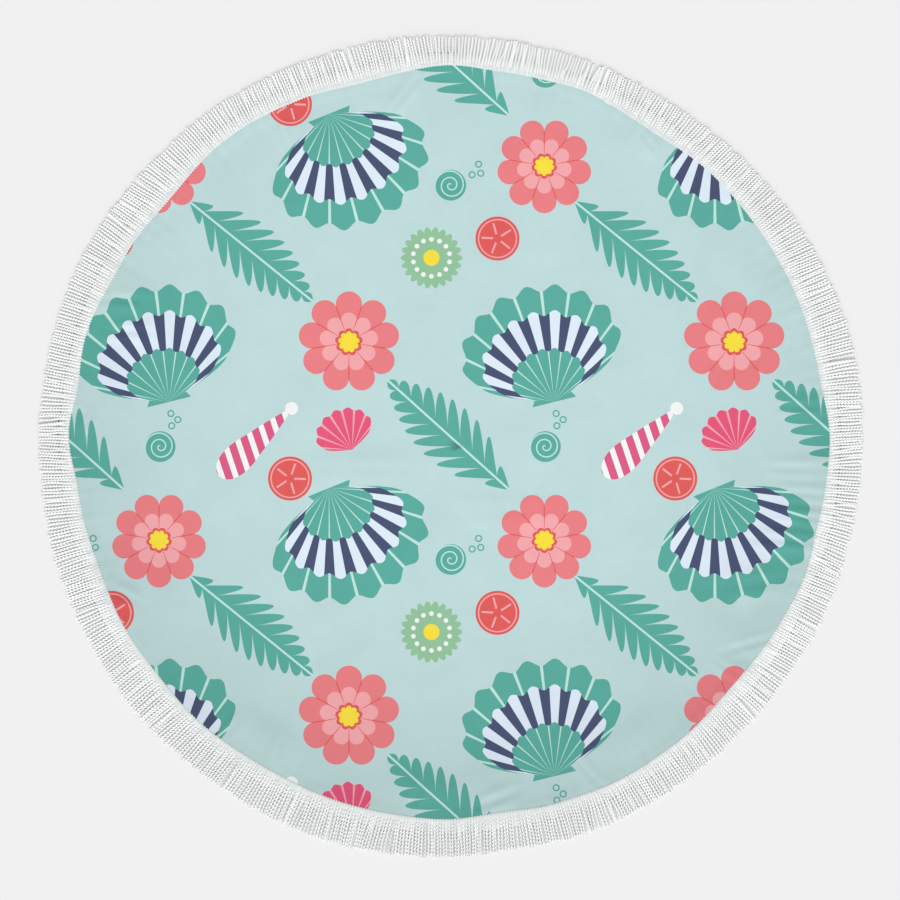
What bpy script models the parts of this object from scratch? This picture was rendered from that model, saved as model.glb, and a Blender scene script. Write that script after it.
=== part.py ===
"""Round beach towel, lying flat: a thin printed cloth with a yarn fringe sewn over its rim.

Metres, +Z up, with the surface that the towel lies on at z = 0. The origin is under the middle
of the fringe's outline, and +Y points to the upper edge of the print. Angles are in degrees,
from +X towards +Y.
"""
import math
import random

import bmesh
import bpy
from mathutils import Matrix

# Driving dimensions
OVERALL_RADIUS = 0.7490  # from the middle to the ends of the yarns
OVERALL_CENTRE = (-0.0022, 0.0005)
CLOTH_THICKNESS = 0.002  # even all over, as thick as the hem at its rim

# The seam is where the heading's inner edge lies on the print. It was sewn by eye, so its circle
# is a little off the fringe's, and the yarns leave the heading on a rounder line outside it.
SEAM_RADIUS = 0.6820
SEAM_CENTRE = (-0.0006, 0.0063)
YARN_LINE_RADIUS = 0.6914
YARN_LINE_CENTRE = (-0.0012, 0.0066)
WAVE_KEPT = 0.5  # of a seam wave, in the yarns' line
LEAST_HEADING = 0.0048

HEADING_THICKNESS = 0.0018
HEADING_LAP = 0.55  # of the heading's width that lies over the cloth
SEAT_GAP = 0.0003

# Locks of yarn, from the heading to their ends
LOCKS = 288
YARN_DEPTH = 0.0040
TIP_DEPTH = 0.0026
BEND_AT = 0.52  # of a lock's length
BEND_LEAN = 0.42  # of a lock's lean
BEND_WIDTH = 0.86  # of the way to the nearer neighbour
TIP_WIDTH = 0.70
TRIM_UNEVENNESS = 0.0035  # by which scissors left some yarns shorter
STRAY = 0.0008  # of a lock's end to either side of its group's lean
LOCK_SEED = 11

# Rings of the cloth's mesh. Its edge is one more, outside these. The outer rings have a corner
# at each parting of the locks, so that the heading lies over them face to face
EDGE_SHARE = 1.05
CLOTH_RINGS = (
    # share of the seam's radius, sides
    (1.000, LOCKS),
    (0.955, LOCKS),
    (0.915, LOCKS),
    (0.865, LOCKS // 2),
    (0.790, LOCKS // 2),
    (0.690, LOCKS // 2),
    (0.570, LOCKS // 2),
    (0.450, LOCKS // 4),
    (0.330, LOCKS // 4),
    (0.210, LOCKS // 8),
    (0.100, LOCKS // 8),
)

# Where the seam swells out or draws in: angle, half its spread in degrees, shift outwards
SEAM_WAVES = (
    (1, 10, 0.0080),
    (25, 14, 0.0018),
    (57, 11, -0.0070),
    (70, 6, 0.0035),
    (90, 7, 0.0055),
    (104, 10, -0.0075),
    (124, 11, 0.0050),
    (139, 9, -0.0055),
    (163, 11, 0.0090),
    (178, 9, 0.0120),
    (200, 13, -0.0045),
    (217, 12, -0.0035),
    (240, 14, -0.0035),
    (268, 7, 0.0018),
    (278, 8, -0.0050),
    (297, 9, 0.0025),
    (320, 13, -0.0060),
    (340, 9, 0.0055),
    (352, 7, 0.0030),
)

# Where the yarns' ends reach further or less far: angle, half the spread, shift outwards
REACH_WAVES = (
    (17, 30, 0.0075),
    (60, 22, -0.0050),
    (82, 16, -0.0030),
    (127, 7, 0.0040),
    (152, 18, 0.0040),
    (186, 18, -0.0025),
    (205, 9, -0.0025),
    (221, 11, 0.0020),
    (253, 20, 0.0045),
    (280, 11, -0.0035),
    (316, 24, -0.0055),
)

# Groups of yarns that lean together: angle, half the spread, how far their ends lie towards
# larger angles
LEANS = (
    (8, 8, -0.0050),
    (22, 7, 0.0040),
    (37, 8, 0.0055),
    (52, 7, -0.0050),
    (66, 7, 0.0040),
    (83, 7, -0.0060),
    (94, 6, 0.0050),
    (103, 8, 0.0055),
    (120, 8, -0.0040),
    (140, 11, 0.0065),
    (156, 7, -0.0030),
    (175, 6, 0.0030),
    (192, 7, -0.0050),
    (210, 9, 0.0045),
    (227, 7, -0.0050),
    (241, 7, 0.0050),
    (258, 6, -0.0040),
    (272, 8, 0.0040),
    (283, 6, -0.0030),
    (298, 8, 0.0050),
    (313, 8, -0.0050),
    (328, 7, 0.0040),
    (344, 8, -0.0045),
    (356, 6, 0.0040),
)

# Soft folds that lift the cloth off the surface: name, angle and radius of the middle, turn of
# the fold from the radial direction, half its length, half its width, height
FOLDS = (
    ("right pucker, highest", -16.0, 0.640, 8, 0.100, 0.027, 0.0050),
    ("right pucker, next above", -11.3, 0.640, 5, 0.095, 0.025, 0.0036),
    ("right pucker, third", -7.0, 0.638, 4, 0.090, 0.024, 0.0028),
    ("right pucker, uppermost", -2.6, 0.642, 2, 0.080, 0.024, 0.0020),
    ("drag line, lower right", -33.0, 0.625, 52, 0.095, 0.030, 0.0036),
    ("pucker, lower right", -38.5, 0.650, 6, 0.070, 0.027, 0.0028),
    ("shoulder, right", 24.0, 0.640, 90, 0.110, 0.036, 0.0030),
    ("crease, upper right", 57.0, 0.655, 68, 0.050, 0.026, 0.0026),
    ("drag line, top", 97.5, 0.640, -45, 0.090, 0.027, 0.0032),
    ("pucker, top left", 118.0, 0.655, -12, 0.065, 0.026, 0.0024),
    ("left pucker, upper", 153.4, 0.655, 4, 0.080, 0.024, 0.0036),
    ("left pucker, lower", 157.8, 0.658, -3, 0.080, 0.024, 0.0032),
    ("tuck, left", 176.5, 0.662, 58, 0.050, 0.024, 0.0028),
    ("pucker, lower left", 206.0, 0.652, 28, 0.070, 0.027, 0.0034),
    ("shoulder, lower left", 237.0, 0.628, 90, 0.140, 0.050, 0.0046),
    ("shoulder, bottom", 268.0, 0.624, 90, 0.170, 0.052, 0.0050),
    ("shoulder, bottom right", 302.0, 0.628, 90, 0.120, 0.048, 0.0040),
    ("crease, below the middle", -52.7, 0.148, 53, 0.190, 0.050, 0.0018),
    ("crease, left of the middle", 194.0, 0.170, -14, 0.170, 0.055, 0.0014),
)

MATERIALS = {
    # name: colour as linear red, green and blue, roughness
    "printed_cloth": ((0.515, 0.697, 0.687), 0.85),
    "fringe_yarn": ((0.880, 0.900, 0.890), 0.90),
}


def swell(distance, half_spread):
    """A soft bump: 1 in the middle, 0 from half_spread outwards."""
    share = min(abs(distance) / half_spread, 1.0)
    return 0.5 * (1.0 + math.cos(math.pi * share))


def sum_of_waves(table, angle):
    """The shift that a table of waves gives at an angle."""
    total = 0.0
    for middle, half_spread, shift in table:
        away = (angle - middle + 180.0) % 360.0 - 180.0
        total += shift * swell(away, half_spread)
    return total


def circle_radius(centre, radius, angle):
    """How far a circle that is off the origin lies from it, in the direction of angle."""
    turn = math.radians(angle)
    along = centre[0] * math.cos(turn) + centre[1] * math.sin(turn)
    across = centre[1] * math.cos(turn) - centre[0] * math.sin(turn)
    return along + math.sqrt(radius * radius - across * across)


def seam_radius(angle):
    return circle_radius(SEAM_CENTRE, SEAM_RADIUS, angle) + sum_of_waves(SEAM_WAVES, angle)


def yarn_line_radius(angle):
    wave = WAVE_KEPT * sum_of_waves(SEAM_WAVES, angle)
    line = circle_radius(YARN_LINE_CENTRE, YARN_LINE_RADIUS, angle) + wave
    return max(line, seam_radius(angle) + LEAST_HEADING)


def cloth_edge_radius(angle):
    seam = seam_radius(angle)
    return seam + HEADING_LAP * (yarn_line_radius(angle) - seam)


def reach_radius(angle):
    outline = circle_radius(OVERALL_CENTRE, OVERALL_RADIUS, angle)
    return outline + sum_of_waves(REACH_WAVES, angle)


def point_at(radius, angle, z=0.0):
    turn = math.radians(angle)
    return (radius * math.cos(turn), radius * math.sin(turn), z)


def lift(x, y):
    """How high the cloth's underside is. The heading holds the rim as high as the seam."""
    angle = math.degrees(math.atan2(y, x))
    radius = min(math.hypot(x, y), seam_radius(angle))
    x, y, _ = point_at(radius, angle)
    total = 0.0
    for _, middle_angle, middle_radius, turn, half_length, half_width, height in FOLDS:
        middle_x, middle_y, _ = point_at(middle_radius, middle_angle)
        run = math.radians(middle_angle + turn)
        along = (x - middle_x) * math.cos(run) + (y - middle_y) * math.sin(run)
        across = (y - middle_y) * math.cos(run) - (x - middle_x) * math.sin(run)
        total += height * swell(along, half_length) * swell(across, half_width)
    return total


def ring(bm, sides, size, capped=False):
    """A circle of edges, as high up the Z axis as its radius, so that rings of several sizes
    stand as on a cone and bridge without a twist."""
    place = Matrix.Translation((0.0, 0.0, size))
    made = bmesh.ops.create_circle(
        bm, cap_ends=capped, segments=sides, radius=size, matrix=place
    )
    return list({edge for vert in made["verts"] for edge in vert.link_edges})


def angle_of(point):
    return math.degrees(math.atan2(point.y, point.x))


def finished(name, bm, material_name):
    """An object of the mesh, with its faces pointing out and its material."""
    bmesh.ops.recalc_face_normals(bm, faces=bm.faces)
    mesh = bpy.data.meshes.new(name)
    bm.to_mesh(mesh)
    bm.free()
    colour, roughness = MATERIALS[material_name]
    material = bpy.data.materials.new(material_name)
    material.use_nodes = True
    shader = material.node_tree.nodes["Principled BSDF"]
    shader.inputs["Base Color"].default_value = (*colour, 1.0)
    shader.inputs["Roughness"].default_value = roughness
    shader.inputs["Metallic"].default_value = 0.0
    mesh.materials.append(material)
    mesh.shade_smooth()
    mesh.set_sharp_from_angle(angle=math.radians(40))
    thing = bpy.data.objects.new(name, mesh)
    bpy.context.collection.objects.link(thing)
    return thing


def printed_cloth():
    """The round cloth with its hem: one sheet of even thickness that follows the folds. Each
    ring's height on the cone is its share of the seam's radius, which then places it."""
    bm = bmesh.new()
    outer = ring(bm, LOCKS, EDGE_SHARE)
    for share, sides in CLOTH_RINGS:
        innermost = share == CLOTH_RINGS[-1][0]
        inner = ring(bm, sides, share, capped=innermost)
        bmesh.ops.bridge_loops(bm, edges=outer + inner)
        outer = inner
    for vert in bm.verts:
        angle, share = angle_of(vert.co), vert.co.z
        at_edge = share > 0.5 * (1.0 + EDGE_SHARE)
        radius = cloth_edge_radius(angle) if at_edge else share * seam_radius(angle)
        vert.co = point_at(radius, angle)
    upper = bmesh.ops.extrude_face_region(bm, geom=bm.faces[:])["geom"]
    raised = [item for item in upper if isinstance(item, bmesh.types.BMVert)]
    bmesh.ops.translate(bm, verts=raised, vec=(0.0, 0.0, CLOTH_THICKNESS))
    for vert in bm.verts:
        vert.co.z += lift(vert.co.x, vert.co.y)
    return finished("printed_cloth", bm, "printed_cloth")


def rim_lift(angle):
    x, y, _ = point_at(seam_radius(angle), angle)
    return lift(x, y)


def heading_corners(angle):
    """The heading's section, from the top of its inner edge round to the top of the yarns' line.
    It laps over the cloth's rim and stands on the surface just outside it."""
    seat = rim_lift(angle) + CLOTH_THICKNESS + SEAT_GAP
    step = cloth_edge_radius(angle) + SEAT_GAP
    seam = seam_radius(angle)
    yarn_line = yarn_line_radius(angle)
    return (
        (seam, seat + HEADING_THICKNESS),
        (seam, seat),
        (step, seat),
        (step, 0.0),
        (yarn_line, 0.0),
        (yarn_line, rim_lift(angle) + YARN_DEPTH),
    )


def lock_sections():
    """For each lock, its section at the bend and at its end, as (angle, radius, half width in
    degrees, depth). A lock is only as wide as its nearer neighbour allows, so none touch."""
    chance = random.Random(LOCK_SEED)
    middles = [(index + 0.5) * 360.0 / LOCKS for index in range(LOCKS)]
    shortfalls = [TRIM_UNEVENNESS * chance.random() for _ in middles]
    strays = [STRAY * chance.uniform(-1.0, 1.0) for _ in middles]
    sections = []
    for share, lean_share, width_share in (
        (BEND_AT, BEND_LEAN, BEND_WIDTH),
        (1.0, 1.0, TIP_WIDTH),
    ):
        places = []
        for middle, shortfall, stray in zip(middles, shortfalls, strays, strict=True):
            root = yarn_line_radius(middle)
            radius = root + share * (reach_radius(middle) - shortfall - root)
            sideways = lean_share * (sum_of_waves(LEANS, middle) + stray)
            places.append((middle + math.degrees(sideways / radius), radius))
        row = []
        for index, (angle, radius) in enumerate(places):
            before = (angle - places[index - 1][0]) % 360.0
            after = (places[(index + 1) % LOCKS][0] - angle) % 360.0
            half_width = 0.5 * width_share * min(before, after)
            thinning = (YARN_DEPTH - TIP_DEPTH + rim_lift(middles[index])) * (1.0 - share)
            row.append((angle, radius, half_width, TIP_DEPTH + thinning))
        sections.append(row)
    return sections


def draw_out(bm, faces, row):
    """Extrudes each lock's end on its own, and moves the four corners of the new end to the
    lock's section in row. Returns the new ends."""
    ends = []
    for face, (angle, radius, half_width, depth) in zip(faces, row, strict=True):
        end = bmesh.ops.extrude_discrete_faces(bm, faces=[face])["faces"][0]
        middle = end.calc_center_median()
        for vert in end.verts:
            beside = (angle_of(vert.co) - angle_of(middle) + 180.0) % 360.0 - 180.0
            side = math.copysign(half_width, beside)
            vert.co = point_at(radius, angle + side, depth if vert.co.z > middle.z else 0.0)
        ends.append(end)
    return ends


def fringe_trim():
    """The fringe trim: the heading, and the locks of yarn that leave its outer edge. The
    heading's section is spun round with its corners stacked, one to each level, and each corner
    is then moved to its place at that angle."""
    bm = bmesh.new()
    corners = len(heading_corners(0.0))
    section = [bm.verts.new((1.0, 0.0, level)) for level in range(corners)]
    sides = [bm.edges.new((section[level - 1], section[level])) for level in range(corners)]
    bmesh.ops.spin(
        bm,
        geom=section + sides,
        cent=(0.0, 0.0, 0.0),
        axis=(0.0, 0.0, 1.0),
        angle=math.tau,
        steps=LOCKS,
        use_merge=True,
    )
    outer_wall = [face for face in bm.faces if min(v.co.z for v in face.verts) > corners - 2.5]
    for vert in bm.verts:
        angle = angle_of(vert.co)
        radius, z = heading_corners(angle)[round(vert.co.z)]
        vert.co = point_at(radius, angle, z)
    ends = sorted(outer_wall, key=lambda face: angle_of(face.calc_center_median()) % 360.0)
    for row in lock_sections():
        ends = draw_out(bm, ends, row)
    return finished("fringe_trim", bm, "fringe_yarn")


def main():
    for thing in list(bpy.data.objects):
        bpy.data.objects.remove(thing, do_unlink=True)
    printed_cloth()
    fringe_trim()


main()
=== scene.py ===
# %% [markdown]
# # A round beach towel with a yarn fringe
# The real towel is one round cut of thin cloth, printed on one side. Its hem is turned under,
# and a woven heading with a fringe of twisted yarns is sewn over the rim. It lies on a pale
# floor, seen from straight above.
#
# The sizes are read from a fixed frame, a plain solid model of the towel. This script makes the
# fine surfaces that stand for its solids.

# %% Load the frame
import math

import bmesh
import bpy
import numpy as np
from mathutils import Matrix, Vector
from mathutils.bvhtree import BVHTree


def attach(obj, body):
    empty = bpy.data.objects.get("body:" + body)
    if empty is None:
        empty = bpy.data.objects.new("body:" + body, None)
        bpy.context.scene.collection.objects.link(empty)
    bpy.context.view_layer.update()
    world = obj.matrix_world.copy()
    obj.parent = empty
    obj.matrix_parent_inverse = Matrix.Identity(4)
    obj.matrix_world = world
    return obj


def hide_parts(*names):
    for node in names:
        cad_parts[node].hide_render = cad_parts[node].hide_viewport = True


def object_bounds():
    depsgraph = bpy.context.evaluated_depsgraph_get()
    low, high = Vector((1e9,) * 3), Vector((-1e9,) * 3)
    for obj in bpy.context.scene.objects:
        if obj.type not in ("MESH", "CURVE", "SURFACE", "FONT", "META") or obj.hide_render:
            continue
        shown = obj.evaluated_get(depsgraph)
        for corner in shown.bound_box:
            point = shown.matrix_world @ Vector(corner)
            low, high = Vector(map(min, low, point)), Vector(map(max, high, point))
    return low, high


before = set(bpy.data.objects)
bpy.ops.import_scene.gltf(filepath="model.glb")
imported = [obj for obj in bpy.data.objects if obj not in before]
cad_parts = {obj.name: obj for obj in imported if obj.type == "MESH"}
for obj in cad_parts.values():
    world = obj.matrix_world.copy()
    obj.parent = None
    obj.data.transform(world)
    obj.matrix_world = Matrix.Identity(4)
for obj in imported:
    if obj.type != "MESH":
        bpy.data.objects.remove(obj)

frame_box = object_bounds()
print("frame box, in metres:", [[round(value, 4) for value in corner] for corner in frame_box])

# %% [markdown]
# ## Where the edges run
# The seam, the cloth's edge and the line where the yarns leave the heading are three uneven
# circles. The frame's fringe has a corner of each on 288 spokes, so the three radii are read
# there, and any angle in between follows from them.

# %% Read the outlines
SPOKES = 288
SPOKE_TURN = 360.0 / SPOKES
ON_SPOKE = 0.004  # degrees within which a corner lies on a spoke
SAME_CORNER = 5  # decimals of a metre to which corners agree


def points_of(things):
    """The coordinates of a mesh's or a bmesh's points, as three rows."""
    return np.array([vert.co for vert in things]).T


def polar(x, y):
    """Angles in degrees, and distances from the middle."""
    return np.degrees(np.arctan2(y, x)), np.hypot(x, y)


corner_x, corner_y, _ = points_of(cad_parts["fringe_trim"].data.vertices)
corner_angles, corner_radii = polar(corner_x, corner_y)


def read_outlines():
    """The seam, the cloth's edge and the yarns' line: one radius on each spoke."""
    spokes = np.round(corner_angles / SPOKE_TURN)
    on_spoke = np.abs(corner_angles - spokes * SPOKE_TURN) < ON_SPOKE
    rows = []
    for spoke in range(SPOKES):
        here = corner_radii[on_spoke & (spokes % SPOKES == spoke)]
        rows.append(np.unique(np.round(here, SAME_CORNER))[:3])
    return np.array(rows).T


def around(line, angles):
    """The value of an evenly spaced line at any angles, in degrees."""
    places = np.arange(len(line)) * 360.0 / len(line)
    return np.interp(np.asarray(angles) % 360.0, places, line, period=360.0)


def tell_span(what, values):
    print("%s: %.2f to %.2f mm" % (what, 1000 * np.min(values), 1000 * np.max(values)))


seam_line, cloth_line, yarn_line = read_outlines()
tell_span("seam's radius", seam_line)
tell_span("heading's width", yarn_line - seam_line)

# %% [markdown]
# ## How far the yarns reach
# The fringe was trimmed by hand, so its outline is only nearly round. The furthest corner of
# the frame's locks near each spoke gives it, and a mean over a few spokes smooths it.

# %% Read the reach of the fringe
REACH_WINDOW = 2.2  # degrees to each side of a spoke
REACH_MEAN = 5  # spokes


def turned(angles, middle):
    """How far angles are from a middle one, between -180 and 180 degrees."""
    return (angles - middle + 180.0) % 360.0 - 180.0


def read_reach():
    furthest = []
    for spoke in range(SPOKES):
        away = np.abs(turned(corner_angles, spoke * SPOKE_TURN))
        furthest.append(corner_radii[away < REACH_WINDOW].max())
    shifts = range(-(REACH_MEAN // 2), REACH_MEAN // 2 + 1)
    return np.mean([np.roll(furthest, shift) for shift in shifts], axis=0)


reach_line = read_reach()
tell_span("yarns' length", reach_line - yarn_line)

# %% [markdown]
# ## How high the cloth lies
# The frame's cloth is a slab with the main folds in it. A ray from above finds its top, and what
# that is higher than the slab's own thickness is the fold's lift. The slab is coarse, so the
# sheet that is made below smooths these heights before it adds its creases.

# %% Read the folds' lift
RAY_HEIGHT = 1.0
DOWN = (0.0, 0.0, -1.0)
INSIDE_EDGE = 0.9985  # of the edge's radius, so that no ray misses the slab
TINY = 1e-9  # metres
SAMPLES = 0.05 * np.arange(-8, 9)  # metres, places at which the slab is measured

slab_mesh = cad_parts["printed_cloth"].data
slab = BVHTree.FromPolygons(
    [vert.co for vert in slab_mesh.vertices], [face.vertices for face in slab_mesh.polygons]
)


def height_at(tree, x, y):
    """How high the upper side of a shape is at one place."""
    return tree.ray_cast((x, y, RAY_HEIGHT), DOWN)[0].z


def slab_top(x, y):
    angle, radius = polar(x, y)
    most = INSIDE_EDGE * float(around(cloth_line, angle))
    share = min(1.0, most / max(radius, TINY))
    return height_at(slab, x * share, y * share)


SLAB_THICKNESS = min(slab_top(x, y) for x in SAMPLES for y in SAMPLES)
tell_span("slab, flat and folded", (SLAB_THICKNESS, frame_box[1].z))

# %% [markdown]
# ## Nodes and colours
# Every finish below is a few nodes, which small functions add and link. Hex colours are in
# sRGB, so one function turns them to the linear values that light needs.

# %% Node and colour helpers


def linear(hex_colour):
    """A linear colour from an sRGB hex value such as #808080, by the standard's formula."""
    channels = [int(hex_colour[start:start + 2], 16) / 255.0 for start in (1, 3, 5)]
    return (*[c / 12.92 if c <= 0.04045 else ((c + 0.055) / 1.055) ** 2.4 for c in channels], 1.0)


def fill(node, inputs):
    """Sets the inputs of a node, or links them where the value is another node's output."""
    for socket, value in inputs.items():
        if isinstance(value, bpy.types.NodeSocket):
            node.id_data.links.new(value, node.inputs[socket])
        else:
            node.inputs[socket].default_value = value


def add_node(tree, kind, inputs=None, output=0, stops=None, points=None, **settings):
    """Adds a node, sets it, fills its inputs, and returns one of its outputs.
    stops are a colour ramp's, as (place, colour), and points a curve's, as (x, y)."""
    node = tree.nodes.new("ShaderNode" + kind)
    for name, value in settings.items():
        setattr(node, name, value)
    fill(node, inputs or {})
    if stops:
        ramp = node.color_ramp
        ramp.interpolation = "CONSTANT"
        for element, (place, colour) in zip(ramp.elements, stops):
            element.position, element.color = place, colour
        for place, colour in stops[2:]:
            ramp.elements.new(place).color = colour
    if points:
        curve = node.mapping.curves[0]
        curve.points[0].location, curve.points[1].location = points[0], points[-1]
        for x, y in points[1:-1]:
            curve.points.new(x, y)
        node.mapping.update()
    return node.outputs[output]


def calc(tree, operation, *values, **settings):
    """A math node with one to three values."""
    return add_node(tree, "Math", dict(enumerate(values)), operation=operation, **settings)


def vector(tree, operation, *values, output=0):
    """A vector math node."""
    return add_node(tree, "VectorMath", dict(enumerate(values)), output, operation=operation)


def blend(tree, share, colour, other):
    """A share of another colour, mixed into a colour."""
    return add_node(tree, "Mix", {0: share, 6: colour, 7: other}, 2, data_type="RGBA")


def new_material(name):
    """A material with its shader, and the tree that holds them."""
    material = bpy.data.materials.new(name)
    material.use_nodes = True
    tree = material.node_tree
    return material, tree, tree.nodes["Principled BSDF"]


print("middle grey, linear: %.3f" % linear("#808080")[0])

# %% [markdown]
# ## The print
# The real cloth is a thin microfibre, printed on one side with a sea design in flat colours.
# Here it is drawn with nodes, from circles, fans and waves, so it stays sharp at any distance.
# The design is this script's own: shells, sea fronds, sea flowers, an urchin and bubbles.
#
# Each motif takes the cloth's flat coordinates, moves them to its own middle, wraps them so that
# it comes back in each repeat, and turns and scales them so that 1 is its own size.

# %% Palette and repeat
PALETTE = {
    "mint ground": "#BCD7D7",
    "teal": "#57A99C",
    "pale line": "#BFE3DC",
    "navy": "#45506F",
    "blue white": "#DCE9F6",
    "salmon": "#E67D82",
    "light pink": "#F0A6AA",
    "hot pink": "#E4547C",
    "coral red": "#DD5A58",
    "magenta": "#D95983",
    "yellow": "#F5DC3C",
    "pale green": "#90C09A",
    "white": "#EFF3F1",
}
INK = {name: linear(colour) for name, colour in PALETTE.items()}
REPEAT = (0.700, 0.680)  # metres
FLAT_MAP = "flat_cloth"
print("inks:", ", ".join(INK))


# %% Place a motif on the flat cloth


class Spot:
    """The coordinates of one motif: x and y in its own size, the distance from its middle, and
    the angle from its own y axis."""

    def __init__(self, tree, flat, middle, turn, size, shift):
        half = (REPEAT[0] / 2, REPEAT[1] / 2, 1.0)
        moved = vector(tree, "SUBTRACT", flat, (*middle, 0.0))
        wrapped = vector(tree, "WRAP", moved, half, [-h for h in half])
        placing = {
            "Vector": wrapped,
            "Location": (0.0, shift, 0.0),
            "Rotation": (0.0, 0.0, -math.radians(turn)),
            "Scale": (1.0 / size,) * 3,
        }
        self.tree = tree
        self.at = add_node(tree, "Mapping", placing)
        self.x = add_node(tree, "SeparateXYZ", {0: self.at})
        self.y = self.x.node.outputs["Y"]
        self.radius = vector(tree, "LENGTH", self.at, output="Value")
        self.angle = self.math("ARCTAN2", self.x, self.y)

    def math(self, operation, *values):
        return calc(self.tree, operation, *values)

    def below(self, value, limit):
        """1 where a value is below a limit, 0 elsewhere."""
        return self.math("LESS_THAN", value, limit)

    def wave(self, kind, angle, count):
        """A sine or cosine of so many times an angle."""
        return self.math(kind, self.math("MULTIPLY", angle, count))

    def over(self, below, above, where):
        """One colour laid over another where a mask is 1."""
        return blend(self.tree, where, below, above)

    def away(self, point):
        """The distance from another point of the motif."""
        return vector(self.tree, "DISTANCE", self.at, (*point, 0.0), output="Value")


# %% [markdown]
# ## Shells
# A fan shell opens from its hinge by 72 degrees to each side. A curve gives its reach, from the
# axis outwards, and a cosine of the angle makes the ribs and the scalloped edge. The large one
# wears a band of navy and white stripes, one to each rib, and has two ears at its hinge.

# %% Fan shells
FAN_OPENING = 72  # degrees to each side of the axis
FAN_OUTLINE = ((0.0, 1.0), (0.42, 0.965), (0.7, 0.88), (0.88, 0.72), (0.97, 0.45), (1.0, 0.0))
FAN_RIBS = 25  # to a full turn
FAN_GROOVE = -0.94  # the ribs' wave is below this in the grooves between them
FAN_BAND = (0.62, 0.16)  # middle and half width, as shares of the shell's reach
SCALLOP = 0.03
LEAST_REACH = 0.01  # keeps a division from zero
EARS = (0.19, 0.11)  # half width and height
EAR_SLANT = 0.6
COCKLE_RIBS = 20
COCKLE_GROOVE = -0.82


def fan(spot, ribs):
    """How far a fan reaches at each angle, and the wave of its ribs."""
    away = spot.math("MULTIPLY", spot.math("ABSOLUTE", spot.angle), 1 / math.radians(FAN_OPENING))
    opening = add_node(
        spot.tree, "FloatCurve", {"Value": spot.math("MINIMUM", away, 1.0)}, points=FAN_OUTLINE
    )
    wave = spot.wave("COSINE", spot.angle, ribs)
    scallops = spot.math("MULTIPLY_ADD", wave, SCALLOP, 1.0 - SCALLOP)
    return spot.math("MULTIPLY", opening, scallops), wave


def fan_shell(spot):
    reach, wave = fan(spot, FAN_RIBS)
    colour = spot.over(INK["teal"], INK["pale line"], spot.below(wave, FAN_GROOVE))
    stripes = spot.over(INK["navy"], INK["blue white"], spot.math("GREATER_THAN", wave, 0.0))
    share = spot.math("DIVIDE", spot.radius, spot.math("MAXIMUM", reach, LEAST_REACH))
    colour = spot.over(colour, stripes, spot.math("COMPARE", share, *FAN_BAND))
    half_width, height = EARS
    slanted = spot.math("MULTIPLY_ADD", spot.y, EAR_SLANT, spot.math("ABSOLUTE", spot.x))
    level = spot.math("COMPARE", spot.y, height / 2, height / 2)
    ears = spot.math("MULTIPLY", spot.below(slanted, half_width), level)
    body = spot.below(spot.radius, reach)
    return spot.over(INK["teal"], colour, body), spot.math("MAXIMUM", body, ears)


def cockle(spot):
    reach, wave = fan(spot, COCKLE_RIBS)
    colour = spot.over(INK["hot pink"], INK["light pink"], spot.below(wave, COCKLE_GROOVE))
    return colour, spot.below(spot.radius, reach)


# %% [markdown]
# An auger is a long pointed shell. A curve gives its half width along its length, and slanting
# stripes in magenta and white are its whorls.

# %% Auger and periwinkle
AUGER_OUTLINE = ((0.0, 0.0), (0.03, 0.15), (0.12, 0.26), (0.25, 0.30), (0.5, 0.23), (1.0, 0.02))
AUGER_SLANT = 0.45  # of its stripes
AUGER_WHORLS = 3.4  # to half its length
MAGENTA_SHARE = 0.58
AUGER_TIP = 0.13
PERIWINKLE_WHORLS = 2.4
PERIWINKLE_LINE = 0.2  # share of a whorl
BUBBLES = ((0.75, 1.35), (1.15, 1.75), (0.7, 2.15))
BUBBLE = (0.19, 0.045)  # radius and half width of its line


def long_outline(spot, points):
    """Half the width of a long motif at each height, by a curve."""
    along = spot.math("MULTIPLY_ADD", spot.y, 0.5, 0.5)
    return add_node(spot.tree, "FloatCurve", {"Value": along}, points=points)


def auger(spot):
    spread = long_outline(spot, AUGER_OUTLINE)
    slant = spot.math("MULTIPLY_ADD", spot.x, AUGER_SLANT, spot.y)
    whorl = spot.math("FRACT", spot.math("MULTIPLY", slant, AUGER_WHORLS))
    white = spot.math("GREATER_THAN", whorl, MAGENTA_SHARE)
    colour = spot.over(INK["magenta"], INK["white"], white)
    body = spot.below(spot.math("ABSOLUTE", spot.x), spread)
    tip = spot.below(spot.away((0.0, 1.0)), AUGER_TIP)
    return spot.over(colour, INK["white"], tip), spot.math("MAXIMUM", body, tip)


def periwinkle(spot):
    turns = spot.math("MULTIPLY", spot.angle, 1 / math.tau)
    spiral = spot.math("FRACT", spot.math("MULTIPLY_ADD", spot.radius, PERIWINKLE_WHORLS, turns))
    colour = spot.over(INK["teal"], INK["pale line"], spot.below(spiral, PERIWINKLE_LINE))
    shape = spot.below(spot.radius, 1.0)
    for place in BUBBLES:
        ring = spot.math("COMPARE", spot.away(place), *BUBBLE)
        colour = spot.over(colour, INK["teal"], ring)
        shape = spot.math("MAXIMUM", shape, ring)
    return colour, shape


# %% [markdown]
# ## Plants and animals
# A frond is a stem whose leaves slant upwards: the height along the stem is lowered by the
# distance from it, and a sine of that makes one leaf after another. A sea flower, a sand dollar
# and an urchin are rosettes, waves round a circle.

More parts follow.
